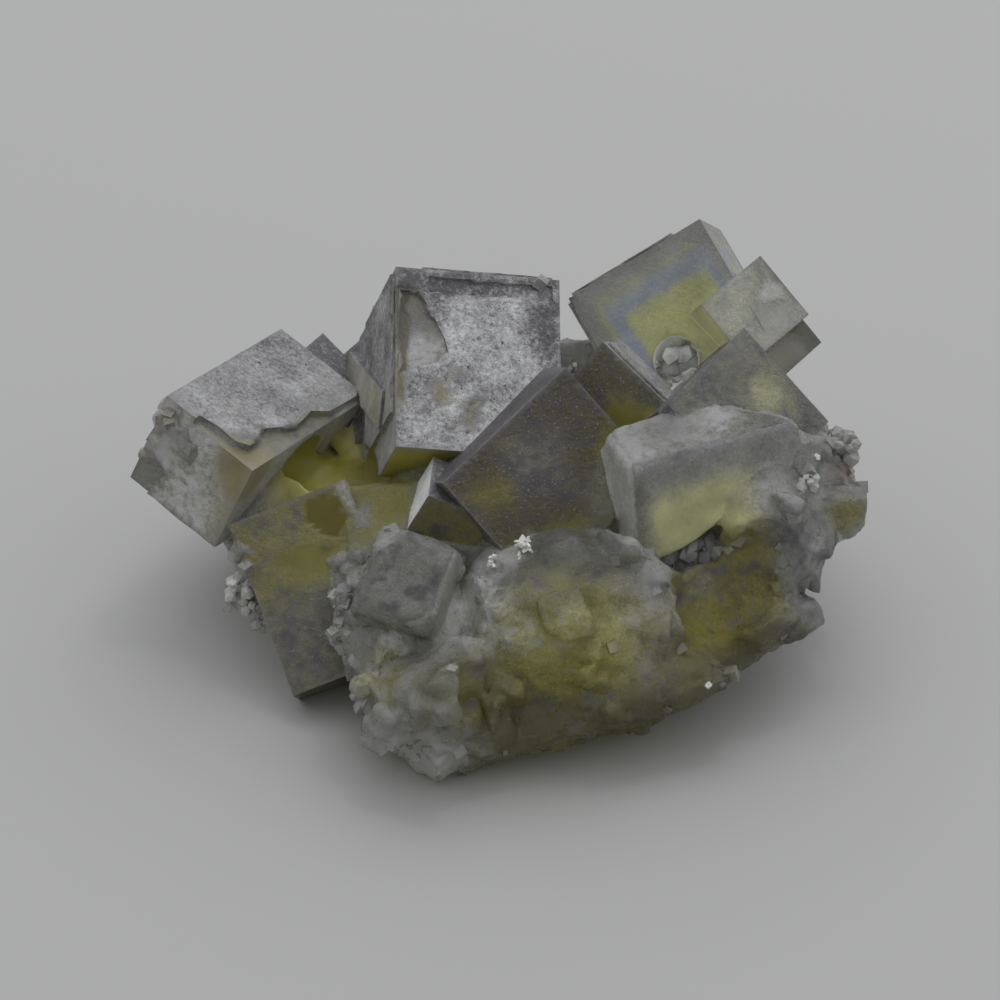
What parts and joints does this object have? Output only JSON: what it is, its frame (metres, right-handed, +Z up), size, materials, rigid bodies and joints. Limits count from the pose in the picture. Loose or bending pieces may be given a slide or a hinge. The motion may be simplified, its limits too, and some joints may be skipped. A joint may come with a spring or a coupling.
{
  "type": "fluorite crystal specimen",
  "caption": "Cluster of intergrown translucent fluorite cubes with frosted mauve-grey skins and olive-yellow zones, on a crumbly broken crystalline base.",
  "frame": {"origin": "middle of the specimen's footprint, at the height of the flat cleavage face that it rests on", "axes": "+X along the specimen's length, towards the end with the clear cube; +Y to the back, away from the crumbly milky front; +Z up"},
  "size_m": [0.0502, 0.0414, 0.0269],
  "materials": {
    "zoned_fluorite": "translucent zoned fluorite, olive-yellow and blue-grey inside, under frosted mauve-grey skins, with glassy cleavage faces and milky broken base"
  },
  "bodies": {
    "root": {"fluorite_cluster": "zoned_fluorite"}
  },
  "joints": []
}
